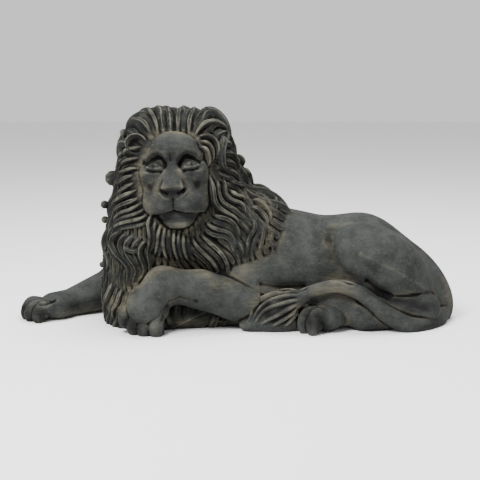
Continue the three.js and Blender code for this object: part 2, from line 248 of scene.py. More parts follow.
# Paws: of the same stone, each with a rounded back, a rounded front and four toes. The toes are
# strips laid side by side, which bend down over their knuckles
def curve(points, t):
    """Points on a smooth curve through the given ones, at shares t of its length."""
    points = np.array(points, float)
    padded = np.vstack([2 * points[0] - points[1], points, 2 * points[-1] - points[-2]])
    fine = np.linspace(0, len(points) - 1, 40 * len(points))
    i = np.minimum(fine.astype(int), len(points) - 2)
    f = (fine - i)[:, None]
    a, b, c, d = (padded[i + k] for k in range(4))
    line = 0.5 * (
        2 * b + (c - a) * f + (2 * a - 5 * b + 4 * c - d) * f**2 + (3 * b - a - 3 * c + d) * f**3
    )
    run = np.concatenate([[0], np.cumsum(np.linalg.norm(np.diff(line, axis=0), axis=1))])
    return np.stack([np.interp(t * run[-1], run, line[:, k]) for k in range(line.shape[1])], axis=1)


def add_strip(path, normals, width, height, sides, rows, strands=0, groove=0, root=0):
    """A strip with rounded sides along a path. width and height give its half sizes, grooves
    part its upper side into strands, and root gives how deep the lower side then goes."""
    normals = np.array(normals, float)

    def place(row, c, s):
        centre = curve(path, row)
        ahead = curve(path, np.minimum(row + 0.01, 1)) - curve(path, np.maximum(row - 0.01, 0))
        ahead /= np.linalg.norm(ahead, axis=1, keepdims=True)
        share = row * (len(normals) - 1)
        i = np.minimum(share.astype(int), len(normals) - 2)
        normal = normals[i] + (normals[i + 1] - normals[i]) * (share - i)[:, None]
        normal -= ahead * (normal * ahead).sum(1)[:, None]
        normal /= np.linalg.norm(normal, axis=1, keepdims=True)
        across = np.cross(ahead, normal)
        open_row = (row > 1e-6) & (row < 1 - 1e-6)
        lift = s * height(row)
        if strands:
            valley = 0.5 - 0.5 * np.cos(math.pi * (strands * c + strands - 1))
            lift = np.where(s > 0, lift * (1 - groove * valley), s * root)
        return (
            centre
            + normal * (lift * open_row)[:, None]
            + across * (c * width(row) * open_row)[:, None]
        )

    add_skin(sides, rows, place)


TOES = (-0.36, -0.12, 0.12, 0.36)


def add_paw(wrist, ahead, upper, length, width, thick):
    """A paw that lies ahead of its wrist. Its forms are given as shares of length, width and
    thickness."""
    forward = unit(ahead)
    up = unit(np.array(upper, float) - forward * np.dot(upper, forward))
    side = np.cross(forward, up)

    def place(a, s, u):
        return (
            np.array(wrist, float)
            + np.multiply.outer(a * length, forward)
            + np.multiply.outer(s * width, side)
            + np.multiply.outer(u * thick, up)
        )

    for sides, rows, middle, half_length, level, half_thick in (
        (40, 30, 0.36, 0.52, -0.02, 0.5),
        (30, 24, 0.74, 0.2, -0.14, 0.36),
    ):
        add_skin(
            sides,
            rows,
            lambda row, c, s: place(
                middle + half_length * np.cos(row * math.pi),
                0.5 * c * np.sin(row * math.pi),
                level + half_thick * s * np.sin(row * math.pi),
            ),
        )
    for across in TOES:
        reach = 1 - 0.9 * across * across
        path = [
            place(0.4, across * 0.8, -0.05),
            place(0.68, across * 0.98, 0.14),
            place(0.88 * reach, across * 1.04, 0.13),
            place(1.0 * reach, across * 1.06, -0.1),
            place(0.98 * reach, across * 1.06, -0.38),
            place(0.94 * reach, across * 1.06, -0.48),
        ]

        def radius(t):
            blunt = np.sqrt(np.clip(1.02 - (2 * t - 1) ** 8, 0, 1))
            return width * (0.17 - 0.05 * t * t) * blunt

        add_strip(path, [side] * len(path), radius, radius, 24, 40)


add_paw((-398, 10, 28), (-1, -0.55, -0.05), (0, 0, 1), 98, 98, 52)
add_paw((-184, -166, 98), (-0.34, -0.2, -1), (-0.35, -1, 0.1), 100, 100, 70)
for s in (1, -1):
    add_paw((228, s * 122, 36), (-1, s * 0.4, -0.06), (0, 0, 1), 92, 100, 72)

# Tail: one long strip that tapers, cast on to thigh and ground. It comes round the rump along the
# ground, rises over the hind foot and runs down to its tuft
TAIL_ROOT = 30
TAIL_END = 14
tail_path = [
    (430, 40, 90), (464, 10, 52), (464, -52, 18), (430, -112, 12), (386, -146, 13),
    (329, -160, 44), (274, -160, 88), (219, -162, 105), (160, -160, 90), (118, -152, 64),
]
tail_radius = lambda t: TAIL_ROOT - (TAIL_ROOT - TAIL_END) * np.minimum(1, t * 1.2)
add_strip(tail_path, [(0.02, -0.03, 1)] * len(tail_path), tail_radius, tail_radius, 28, 160)

# Head: skull, brow, cheeks, muzzle and chin, of the same stone. The broad forms run into each
# other, and the features are carved into their skin. The head's own axes are X to the viewer's
# right and -Y out of the face, with zero between the eyes.
HEAD = np.array([-138, -78, 373])
HEAD_TURN = math.radians(-2)
HEAD_TILT = math.radians(-3)
head_axes = np.array(Euler((0, HEAD_TILT, HEAD_TURN), "XYZ").to_matrix())


def on_head(points):
    """Points in the head's own axes, brought to the head's place and turn."""
    return points @ head_axes.T + HEAD


face = merge(
    8,
    merge(
        20,
        egg((0, 20, 8), (77, 78, 68)),  # skull
        egg((0, -26, 32), (58, 38, 36)),  # forehead
        *both(lambda s: egg((s * 52, -24, -44), (25, 40, 64), (0, s * 5, 0))),  # cheeks
        egg((0, -40, -46), (46, 50, 56)),  # root of the muzzle
        egg((0, -14, -95), (62, 54, 46)),  # jaw
        *both(lambda s: egg((s * 26, -68, -82), (34, 34, 30))),  # upper lips
        *both(lambda s: egg((s * 50, -46, -90), (20, 30, 22))),  # corners of the mouth
        egg((6, -62, -125), (33, 28, 17)),  # chin
    ),
    bar((0, -52, 2), (0, -66, -20), 3, 10),  # root of the nose
)


def bridge(p):
    """The nose, a wedge: flat on top and widening downward, with its pad slanting back below."""
    x, y, z = np.abs(p[:, 0]), p[:, 1], p[:, 2]
    top = -0.7 * (y + 55) + 0.715 * (z - 4)
    pad = -0.9 * (y + 104) - 0.436 * (z + 48)
    side = 0.93 * (x - 4 - 0.4 * (4 - z))
    under = 0.8 * (x - 27 + 0.75 * (-50 - z))
    return -soften(soften(-top, -pad, 3), soften(-side, -under, 3), 3)


face = merge(6, face, bridge)


def near_line(x, z, line):
    """How far points of the front view lie from a line through the given ones."""
    nearest = np.full(len(x), 1e9)
    for (x0, z0), (x1, z1) in zip(line, line[1:] or line):
        run = max((x1 - x0) ** 2 + (z1 - z0) ** 2, 1e-9)
        t = np.clip(((x - x0) * (x1 - x0) + (z - z0) * (z1 - z0)) / run, 0, 1)
        gap = np.hypot(x - x0 - t * (x1 - x0), z - z0 - t * (z1 - z0))
        nearest = np.minimum(nearest, gap)
    return nearest


def fade(x, z, line, width):
    """1 on such a line, and less away from it, by its width."""
    return np.exp(-((near_line(x, z, line) / width) ** 2))


# Features of the face: each row holds a rise, a width and a line seen from in front, which is cut
# in where its rise is below zero. What is on both sides is drawn for the right one.
SIDE_CARVING = (
    (6, 10, [(14, 20), (28, 33), (44, 28), (58, 14)]),
    (-12, 8, [(60, 4), (47, 11), (35, 14), (27, 12), (20, 3)]),
    (-5, 6, [(20, 1), (23, -8), (27, -16)]),
    (6, 7, [(38, -4), (47, -4)]),
    (4, 2.5, [(26, -5), (31, -1), (38, 2), (45, 2), (52, 0), (57, -5)]),
    (5, 2.5, [(26, -7), (32, -10), (42, -11.5), (51, -9), (57, -6)]),
    (-3, 2.4, [(30, -14.5), (44, -16), (56, -13)]),
    (2.5, 2.8, [(30, -19), (44, -21), (58, -17)]),
    (-5, 2.2, [(41, -4)]),
    (4, 11, [(64, -16)]),
    (-7, 13, [(58, -46)]),
    (4, 6, [(17, -14), (28, -32), (40, -52)]),
    (-8, 3.2, [(26, -54), (20, -59), (13, -62)]),
    (3, 3, [(10, -74), (20, -70), (30, -60)]),
    (4, 14, [(26, -88)]),
)
MIDDLE_CARVING = (
    (-2.2, 4, [(-4, 8), (-4, 30)]),
    (3, 7, [(-14, 30), (10, 30)]),
    (-3.5, 3.2, [(0, -74), (0, -101)]),
    (-10, 4, [(-46, -114), (-22, -107), (0, -103), (24, -107), (56, -114)]),
    (2.5, 2.6, [(-44, -108), (-22, -101), (0, -97), (24, -101), (54, -108)]),
    (-3, 8, [(-26, -117), (4, -116), (40, -117)]),
    (3, 7, [(-10, -133), (20, -133)]),
)


def outward(form, points, step=0.5):
    """The direction straight out of a form at each point."""
    slope = np.stack(
        [form(points + step * axis) - form(points - step * axis) for axis in np.eye(3)], axis=1
    )
    return slope / np.linalg.norm(slope, axis=1, keepdims=True)


# The share of the rows that the face takes, before the skin closes behind it, and the disc inside
# the head that its rays leave
FACE_ROWS = 0.85
RIM_TILT = math.radians(82)
DISC_HALF_WIDTH = 58
DISC_HALF_HEIGHT = 84
DISC_MIDDLE = -42
FACE_REACH = 125


def face_place(row, c, s):
    """Rays leave the disc ahead in its middle, and sideways at its rim."""
    share = np.clip(row / FACE_ROWS, 0, 1)
    x, z = c * share, s * share
    tilt = RIM_TILT * share**3
    rays = np.stack([c * np.sin(tilt), -np.cos(tilt), s * np.sin(tilt)], axis=1)
    starts = np.stack(
        [x * DISC_HALF_WIDTH, -18 - 12 * (1 - share), DISC_MIDDLE + z * DISC_HALF_HEIGHT], axis=1
    )
    front = exit_points(face, starts, rays, FACE_REACH)
    rise = np.zeros(len(front))
    for height, width, line in SIDE_CARVING:
        for x in (front[:, 0], -front[:, 0]):
            rise += height * fade(x, front[:, 2], line, width)
    for height, width, line in MIDDLE_CARVING:
        rise += height * fade(front[:, 0], front[:, 2], line, width)
    front = front + outward(face, front) * rise[:, None]
    back = np.stack([c * 320 * (1 - row), 30 * row, DISC_MIDDLE + s * 420 * (1 - row)], axis=1)
    return on_head(np.where((row > FACE_ROWS + 0.005)[:, None], back, front))


add_skin(220, 170, face_place)

# Ears: each is a cup of stone that opens forward, cast on to the side of the head. The left one is
# free, and the right one is smaller and lies under an arched lock
EAR_RADII = np.array([28, 21, 25])
CUP_RADII = np.array([22, 30, 19])
for s, centre, size in ((-1, (-222, -114, 415), 0.95), (1, (-60, -92, 426), 0.66)):
    centre = np.array(centre)
    cup = centre + size * np.array([s * 3, -17, -1])
    shell = hollow(3, egg(centre, size * EAR_RADII), egg(cup, size * CUP_RADII))
    back = centre + size * np.array([0, 16, 0])
    add_wrap(shell, back, back + np.array([0, 2, 0]), 70, 60, 0.6, 0.3)

# Mane: the mass of hair on crown, neck, withers and breast, of solid stone, with a hollow for the
# face. Its own skin lies a little inside the mass, under the hair that is carved on it
SKIN_SUNK = 7
mane_shape = merge(
    60,
    *both(lambda s: egg((-139 + s * 43, -28, 384), (74, 98, 93))),  # crown
    egg((-98, -6, 300), (105, 100, 94)),  # neck
    egg((-166, -24, 226), (119, 122, 140)),  # beard and throat
    egg((-20, 0, 187), (126, 122, 116), (0, 20, 0)),  # shoulders
    egg((44, 8, 186), (88, 92, 84)),  # withers
    egg((-208, -20, 95), (86, 100, 120)),  # breast
    egg((-228, -40, 20), (66, 88, 80)),  # breast, at the ground
    egg((-120, -55, 20), (110, 84, 54)),  # between the forelegs
)
mane_mass = hollow(12, mane_shape, egg((-135, -165, 338), (76, 80, 104)))
add_wrap(lambda points: mane_mass(points) + SKIN_SUNK, (-165, -10, 50), (-140, -8, 370), 120, 110)

# Hair at the back and sides: one rippled skin, carved in the stone of the mane. Its lines run from
# the rim of the face with a slow wave, as in the solid. Every second line is the ridge of a lock,
# carved into strands here.
FACE = np.array([-136, -150, 335])
FACE_HALF_WIDTH = 78
FACE_HALF_HEIGHT = 104
LINES = 108
FINE = 8
HAIR_STEPS = 110
WAVE_HEIGHT = 15
WAVE_LENGTH = 25
VALLEY = -2
LOCK_RISE = 11
SWELL_RISE = 8
SWELLS = 3.3
STRAND_RISE = 3
FULL_ROOM = 24
TURNING = 260
INSIDE_FACE = (-136, -90, 335)
INSIDE_TRUNK = (-120, -10, 200)


def settle(form, points, rounds):
    """Moves points straight onto the surface of a form."""
    for _ in range(rounds):
        points = points - outward(form, points) * form(points)[:, None] * 0.9
    return points


def evened(rows, rounds):
    """Rows of points, each drawn towards its neighbours, with the first and last held."""
    for _ in range(rounds):
        rows[1:-1] = (rows[:-2] + 2 * rows[1:-1] + rows[2:]) / 4
    return rows


def hair_flow(points, normals):
    """Hair flows away from the face, back over the crown, and down."""
    away = points - FACE
    gone = np.clip(np.linalg.norm(away, axis=1) / TURNING, 0, 1)
    away = away * [1, 0.5, 1]
    away /= np.linalg.norm(away, axis=1, keepdims=True)
    crown = np.clip(away[:, 2], 0, 1)
    away[:, 2] -= 0.2 + 1.1 * gone - 0.3 * crown
    away[:, 1] += 0.5 * crown
    away -= normals * (away * normals).sum(1)[:, None]
    return away / np.linalg.norm(away, axis=1, keepdims=True)


turn_share = np.arange(LINES * FINE) / (LINES * FINE)
turn = 2 * math.pi * turn_share + 0.2 * np.sin(4 * math.pi * turn_share)
rim_points = FACE + np.stack(
    [np.sin(turn) * FACE_HALF_WIDTH, 25 + 25 * np.cos(turn), np.cos(turn) * FACE_HALF_HEIGHT],
    axis=1,
)
# The lines reach furthest over the crown and on the far side
left_crown = np.maximum(0, -np.sin(turn)) * np.maximum(0, np.cos(turn) + 0.35)
reach = 320 + 80 * np.cos(turn) - 18 * np.sin(turn) - 60 * left_crown
reach += 120 * np.maximum(0, -np.sin(turn))
lock_place = turn_share * LINES / 2
lock_number = np.round(lock_place)
across_lock = 2 * (lock_place - lock_number)
lock_body = np.cos(across_lock * math.pi / 2) ** 0.7
lock_strands = 0.5 + 0.5 * np.cos(across_lock * math.pi * 3)
points = settle(mane_mass, rim_points, 6)
normals = outward(mane_mass, points)
carved = []
for k in range(HAIR_STEPS + 1):
    t = k / HAIR_STEPS
    flow = hair_flow(points, normals)
    phase = reach * t / WAVE_LENGTH + 1.5 * np.sin(2 * turn)
    wave = WAVE_HEIGHT * min(1, 4 * t) * np.sin(phase)
    waved = settle(mane_mass, points + np.cross(flow, normals) * wave[:, None], 3)
    straight_out = outward(mane_mass, waved)
    swell = np.sin(math.pi * (t * SWELLS + np.where(lock_number % 2 == 0, 0, 0.5))) ** 2
    ridge = VALLEY + (LOCK_RISE + SWELL_RISE * swell + STRAND_RISE * lock_strands) * lock_body
    facing = np.clip((-straight_out[:, 1] - 0.25) / 0.3, 0, 1)
    room = np.linalg.norm(np.roll(waved, FINE, 0) - np.roll(waved, -FINE, 0), axis=1)
    ridge = ridge * np.clip(room / FULL_ROOM, 0.05, 1)
    ridge = ridge * min(1, 0.2 + 8 * t, 0.15 + 6 * (1 - t)) * (1 - 0.5 * facing)
    carved.append(waved + straight_out * ridge[:, None])
    points = settle(mane_mass, points + flow * (reach / HAIR_STEPS)[:, None], 2)
    normals = outward(mane_mass, points)
carved = evened(np.array(carved), 3)


def hair_place(row, c, s):
    """The carved rows, between one point inside the face and one inside the trunk."""
    shift = (np.arctan2(s, c) / (2 * math.pi)) % 1 * LINES * FINE
    column = np.round(shift).astype(int) % (LINES * FINE)
    k = row * (len(carved) + 1)
    placed = carved[np.clip(np.round(k - 1).astype(int), 0, len(carved) - 1), column]
    placed[row < 1e-6] = INSIDE_FACE
    placed[row > 1 - 1e-6] = INSIDE_TRUNK
    return placed


add_skin(LINES * FINE, len(carved) + 1, hair_place)

# Crown: locks of stone on the mane, combed up from the brow on both sides of a parting, and arched
# over the ears. All locks are drawn on the front view, in parts, and laid on the mass from there.
# A fan has a first and a last lock, and the ones between follow both.
VIEW_RISE = math.radians(9)
VIEW_DISTANCE = 2900
AIM_X, AIM_Z = 8, 182.37
EYE = np.array(
    [AIM_X, -VIEW_DISTANCE * math.cos(VIEW_RISE), AIM_Z + VIEW_DISTANCE * math.sin(VIEW_RISE)]
)
NEAREST, FURTHEST, LADDER_STEP = -260, 140, 8.0
LOCK_ROWS = 40
LOCK_EVENING = 6
SUNK_SHARE = 0.4
ROOT_DEPTH = 6
GROOVE_SHARE = 0.45
STRAND_WIDTH = 3.6
chance = np.random.default_rng(11)


def lay(form, drawn):
    """The points of a form that are seen behind points drawn on the front view."""
    on_plane = np.stack([drawn[:, 0], np.zeros(len(drawn)), drawn[:, 1]], axis=1)
    rays = on_plane - EYE
    rays /= np.linalg.norm(rays, axis=1, keepdims=True)
    depths = np.arange(NEAREST, FURTHEST, LADDER_STEP)
    ladder = on_plane[:, None] + rays[:, None] * depths[None, :, None]
    gaps = form(ladder.reshape(-1, 3)).reshape(len(drawn), len(depths))
    hit = gaps < 0
    first = np.where(hit.any(1), hit.argmax(1), gaps.argmin(1))
    depth = depths[first]
    for step in (4, 2, 1, 0.5):
        back = on_plane + rays * (depth - step)[:, None]
        depth = np.where(hit.any(1) & (form(back) < 0), depth - step, depth)
    return on_plane + rays * depth[:, None]


def add_lock(drawn, half_width, rise, strands, mass=mane_mass):
    """A lock with a rounded back, which stands out of the mass by its rise and ends in a tip."""
    laid = evened(lay(mass, curve(drawn, np.linspace(0, 1, LOCK_ROWS))), LOCK_EVENING)
    normals = evened(outward(mass, laid), LOCK_EVENING)
    sunk = half_width * SUNK_SHARE
    laid = laid - normals * sunk

    def width(t):
        return half_width * np.minimum(1, 0.3 + 3 * t) * (1 - 0.85 * t**6)

    def height(t):
        rounded = 0.05 + 0.95 * np.sin(math.pi / 2 * np.minimum(1, 3.5 * t))
        return (rise + sunk) * rounded * (1 - 0.8 * t**6)

    length = np.linalg.norm(np.diff(laid, axis=0), axis=1).sum()
    groove = GROOVE_SHARE * half_width / rise
    rows = max(20, int(length / 2))
    add_strip(laid, normals, width, height, 44, rows, strands, groove, ROOT_DEPTH)


def add_fan(locks, half_width, first, last=None, rise=15):
    """Locks from the first drawn one to the last, each second one lower. No two are quite alike."""
    last = last or first
    for k in range(locks):
        share = k / max(1, locks - 1)
        drawn = np.array(first, float) * (1 - share) + np.array(last, float) * share
        add_lock(
            drawn,
            half_width * chance.uniform(0.85, 1.0),
            rise * (0.85 if k % 2 else 1.15) * chance.uniform(0.9, 1.1),
            max(2, round(half_width / STRAND_WIDTH)),
        )


add_fan(2, 10, [(-151, 429), (-152, 454), (-156, 477), (-161, 489), (-170, 495)],
        [(-169, 430), (-171, 450), (-174, 470), (-178, 483), (-189, 490)])
add_fan(3, 8, [(-181, 425), (-182, 442), (-190, 461), (-201, 477), (-215, 478), (-226, 468)],
        [(-194, 422), (-202, 440), (-211, 450), (-224, 453), (-237, 449), (-250, 442)], 16)
add_fan(3, 8.5, [(-135, 429), (-133, 452), (-131, 471), (-124, 485), (-113, 493)],
        [(-108, 423), (-109, 444), (-105, 462), (-94, 477), (-81, 487)])
outer_arch = [(-98, 431), (-97, 452), (-86, 469), (-70, 480), (-51, 478), (-34, 464), (-22, 442),
              (-16, 419), (-10, 403), (-9, 395)]
add_fan(1, 11, outer_arch, rise=12)
ear_arch = [(-99, 419), (-87, 437), (-70, 447), (-52, 446), (-38, 436), (-31, 419), (-28, 403),
            (-20, 394)]
add_fan(1, 8, ear_arch, rise=20)
hanging = [(-40, 431), (-37, 410), (-41, 392), (-41, 373), (-37, 357), (-28, 348), (-21, 352)]
add_fan(1, 10, hanging, rise=20)
curled = [(-26, 399), (-16, 386), (-12, 370), (-2, 361), (8, 361), (11, 370), (5, 377), (-2, 373)]
add_fan(1, 7, curled, rise=16)
add_fan(3, 6, [(-91, 422), (-77, 423), (-61, 417), (-51, 403), (-48, 386), (-50, 369)],
        [(-87, 400), (-79, 398), (-72, 391), (-68, 380), (-65, 367), (-65, 353)])

# Left of the face: locks carved on the mane as on the crown, small curls under the ear, and then
# locks that sweep down and outward to the mane's edge
add_fan(3, 6, [(-214, 401), (-228, 395), (-242, 393), (-251, 386), (-254, 376)],
        [(-222, 349), (-235, 351), (-247, 347), (-258, 342), (-270, 337)])
add_fan(1, 7, [(-252, 391), (-260, 377), (-264, 362), (-266, 346)])
add_fan(4, 7.5, [(-230, 336), (-245, 331), (-259, 319), (-272, 305), (-282, 289), (-286, 275)],
        [(-221, 290), (-231, 277), (-248, 269), (-264, 262), (-277, 252), (-286, 236)])
add_fan(4, 7, [(-216, 275), (-227, 262), (-242, 252), (-259, 246), (-274, 235), (-284, 222)],
        [(-198, 233), (-209, 222), (-226, 217), (-247, 214), (-268, 209), (-284, 199)])

# Right of the face: long carved locks that fall from the ear and sweep back over the neck, and
# whorls behind them
add_fan(3, 7.5, [(-65, 341), (-60, 318), (-57, 293), (-53, 271), (-42, 256), (-22, 242), (-2, 232),
                 (10, 213)],
        [(-34, 334), (-31, 316), (-31, 295), (-23, 281), (-11, 272), (5, 267), (17, 256),
         (24, 239)])
add_fan(2, 8, [(-19, 304), (-14, 291), (-2, 282), (11, 278), (21, 267)],
        [(-22, 333), (-13, 318), (3, 311), (16, 303), (24, 283)])
add_fan(2, 8, [(2, 338), (14, 321), (25, 306), (33, 288)],
        [(9, 353), (24, 336), (30, 320), (40, 309)])

# Beard: carved locks of the same stone, short ones under the chin, and long ones that sweep from
# the jaw down to the elbow
add_fan(4, 8, [(-59, 248), (-45, 236), (-26, 230), (-10, 220), (4, 201), (6, 180)],
        [(-81, 224), (-71, 205), (-50, 194), (-25, 189), (-11, 173), (-6, 145)], 16)
add_fan(4, 8, [(-88, 211), (-80, 193), (-60, 176), (-38, 158), (-23, 136), (-19, 114), (-20, 84)],
        [(-114, 199), (-111, 171), (-93, 152), (-72, 135), (-57, 116), (-48, 97), (-52, 78)], 16)
add_fan(6, 6.5, [(-166, 214), (-171, 184), (-168, 156), (-161, 134)],
        [(-112, 202), (-116, 176), (-109, 150), (-96, 132)])
add_fan(4, 6.5, [(-198, 246), (-202, 220), (-199, 189), (-206, 156)],
        [(-164, 209), (-170, 189), (-176, 166), (-183, 140)])

# Breast: long waved locks of stone between the forelegs, which hang down to the ground, with a
# few short ones laid across them
add_fan(6, 9.5, [(-252, 210), (-270, 202), (-281, 188), (-284, 171), (-277, 153), (-262, 136),
                 (-249, 116), (-251, 95), (-256, 76), (-253, 64)],
        [(-185, 187), (-197, 175), (-205, 161), (-206, 147), (-203, 135), (-202, 123),
         (-203, 111), (-210, 100), (-221, 88), (-228, 78)], 16)
add_fan(1, 8, [(-255, 182), (-253, 168), (-241, 159), (-226, 160), (-214, 173)], rise=18)
add_fan(1, 6, [(-177, 129), (-189, 113), (-199, 96), (-213, 82), (-226, 71)])
add_fan(2, 9, [(-302, 215), (-304, 191), (-301, 166), (-294, 145), (-291, 126), (-298, 109),
               (-306, 97)],
        [(-287, 205), (-293, 186), (-290, 166), (-280, 142), (-270, 121), (-276, 102),
         (-287, 89)])
add_fan(4, 8.5, [(-287, 90), (-287, 69), (-297, 44), (-303, 23), (-304, 2)],
        [(-254, 66), (-258, 45), (-263, 27), (-275, 10), (-278, -13)])

# Shoulder: shallow waved locks at the back edge of the mane, carved lower than the others, so that
# they run out on the smooth coat
add_fan(4, 8, [(31, 303), (55, 299), (75, 284), (88, 266), (91, 243)],
        [(24, 260), (43, 254), (60, 240), (69, 225), (68, 206)])
add_fan(5, 7.5, [(23, 234), (38, 227), (41, 208), (28, 187), (25, 168), (37, 154)],
        [(71, 214), (81, 200), (78, 182), (84, 165), (80, 147), (85, 130)], 9)
add_fan(5, 7, [(-1, 140), (-12, 116), (-10, 96), (1, 81), (13, 66)],
        [(52, 145), (59, 126), (51, 107), (54, 88), (44, 69)], 8)

# Curl ends: round knobs of hair at the left edge of the mane, of the same stone. Each is a ball
# with two shallow spiral grooves, on a short stem that runs into the mane
def ball(row, c, s):
    """Points on a ball with a radius of 1."""
    ring = np.sin(row * math.pi)
    return np.stack([c * ring, s * ring, np.cos(row * math.pi)], axis=1)


SPIRAL_GROOVE = 0.08
for place, radius in (
    ((-284, -20, 329), 18), ((-303, -20, 268), 10), ((-303, -20, 233), 9), ((-315, 20, 121), 8),
    ((-254, -60, 436), 9),
):
    stem = [place, np.array(place) + (24, 2, -2), np.array(place) + (56, 4, 0)]
    stem_radius = lambda t: radius * (0.6 + 0.3 * t)
    add_strip(stem, [(0, -1, 0)] * 3, stem_radius, stem_radius, 20, 20)
    spiral = lambda row, c, s: np.cos(row * 4 * math.pi + np.arctan2(s, c)) ** 2
    add_skin(
        40,
        30,
        lambda row, c, s: np.array(place)
        + radius * (1 - SPIRAL_GROOVE * spiral(row, c, s))[:, None] * ball(row, c, s),
    )

# Tail tuft: a low mass of stone on the ground at the tail's end, with curved strands laid on it
# that part over a gap and curl in a tip
tuft_mass = merge(
    12,
    bar((150, -158, 82), (96, -146, 50), 15, 28),
    egg((86, -142, 26), (62, 26, 38)),
    egg((34, -146, 14), (28, 18, 16)),
)
add_wrap(tuft_mass, (130, -150, 60), (50, -144, 24), 60, 70)
for strand in (
    [(160, 60), (125, 62), (95, 58), (67, 47), (48, 33), (39, 14), (31, -6), (15, -20)],
    [(160, 52), (127, 50), (97, 44), (71, 33), (53, 18), (43, 2), (32, -15)],
    [(158, 42), (130, 38), (102, 29), (78, 21), (60, 9), (48, -6), (39, -22)],
    [(151, 33), (130, 24), (109, 12), (88, 0), (69, -10), (53, -22)],
    [(146, 26), (132, 11), (116, -2), (97, -14), (79, -25)],
    [(144, 18), (135, 2), (123, -13), (109, -25)],
):
    add_lock(strand, 5.5, 8, 2, tuft_mass)

# Ground under the breast: low rounded lumps of carved hair between the forelegs, of the same
# stone, each with ten shallow grooves that turn as they rise
LUMP_GROOVE = 0.12
for place, size in (
    ((-146, -92, 12), (26, 30, 22)), ((-112, -104, 14), (24, 26, 24)),
    ((-84, -100, 10), (22, 26, 18)), ((-56, -96, 14), (24, 26, 22)),
    ((-26, -92, 10), (22, 24, 16)), ((-128, -84, 34), (20, 22, 20)),
    ((-92, -86, 36), (24, 20, 20)), ((-52, -84, 32), (26, 20, 16)),
    ((4, -88, 8), (20, 22, 14)),
):
    grooves = lambda row, c, s: np.cos(5 * np.arctan2(s, c) + 6 * row) ** 2
    add_skin(
        48,
        36,
        lambda row, c, s: np.array(place)
        + (1 - LUMP_GROOVE * grooves(row, c, s))[:, None] * np.array(size) * ball(row, c, s),
    )

# One casting: all of these forms are one piece of stone, as it came out of the mould. They are
# fused into one skin, and the steps of its grid are smoothed away
lion_mesh = bpy.data.meshes.new("lion-casting")
casting.to_mesh(lion_mesh)
casting.free()
lion = bpy.data.objects.new("lion-casting", lion_mesh)
bpy.context.scene.collection.objects.link(lion)
VOXEL = 0.002


def take_modified():
    """Makes the result of the modifiers the mesh itself."""
    whole = lion.evaluated_get(bpy.context.evaluated_depsgraph_get())
    mesh = bpy.data.meshes.new_from_object(whole)
    lion.modifiers.clear()
    lion.data = mesh
    return mesh


fuse = lion.modifiers.new("fuse", "REMESH")
fuse.mode = "VOXEL"
fuse.voxel_size = VOXEL
fused = take_modified()


def read_rows(rows, name, width, kind=float):
    """What all vertices or edges hold under a name, with a row for each."""
    values = np.empty(len(rows) * width, dtype=kind)
    rows.foreach_get(name, values)
    return values.reshape(-1, width)


points = read_rows(fused.vertices, "co", 3)
edges = read_rows(fused.edges, "vertices", 2, np.int64)
near_count = np.bincount(edges.ravel(), minlength=len(points))[:, None]


def smoothed(values, rounds):
    """Values of the points, each drawn half way to the mean of its neighbours, again and again."""
    for _ in range(rounds):
        near = np.stack(
            [
                np.bincount(edges[:, 0], values[edges[:, 1], k], len(points))
                + np.bincount(edges[:, 1], values[edges[:, 0], k], len(points))
                for k in range(values.shape[1])
            ],
            axis=1,
        )
        values = (values + near / near_count) / 2
    return values


points = smoothed(points, 2)
fused.vertices.foreach_set("co", points.ravel())
fused.update()
normals = read_rows(fused.vertex_normals, "vector", 3)

# Carving of the body: the folds of thigh, rump and wrist and the parts between the toes, carved in
# the stone. Each row holds a rise, a width and a line on the front view, which is cut in where its
# rise is below zero. Only the side that faces the viewer is carved.
BODY_CARVING = (
    (-3, 18, [(217, 210), (215, 180), (220, 140), (242, 107), (270, 85)]),
    (-4, 12, [(217, 182), (220, 140), (242, 107), (265, 88)]),
    (-7, 9, [(303, 83), (331, 62), (355, 50)]),
    (8, 15, [(292, 149), (370, 111), (439, 69)]),
    (-4, 6, [(-173, -8), (-168, 16), (-156, 35), (-133, 45), (-95, 35)]),
    (2, 12, [(-198, 88), (-212, 50), (-220, 20)]),
    (-4, 4, [(-426, 40), (-447, 30), (-461, 30)]),
    (-3, 8, [(-386, 23), (-353, 33), (-320, 40)]),
    (-5, 10, [(59, 78), (111, 69), (158, 71)]),
    (3, 14, [(124, 215), (138, 159), (148, 111)]),
)
parts = points / PART + MIDDLE
sight = EYE - parts
facing = np.clip((normals * sight).sum(1) / np.linalg.norm(sight, axis=1) * 4, 0, 1)
front_view = EYE - sight * (EYE[1] / (EYE[1] - parts[:, 1]))[:, None]
rise = np.zeros(len(parts))
for height, width, line in BODY_CARVING:
    rise += height * fade(front_view[:, 0], front_view[:, 2], line, width)
points = points + normals * (rise * facing * PART)[:, None]
fused.vertices.foreach_set("co", points.ravel())

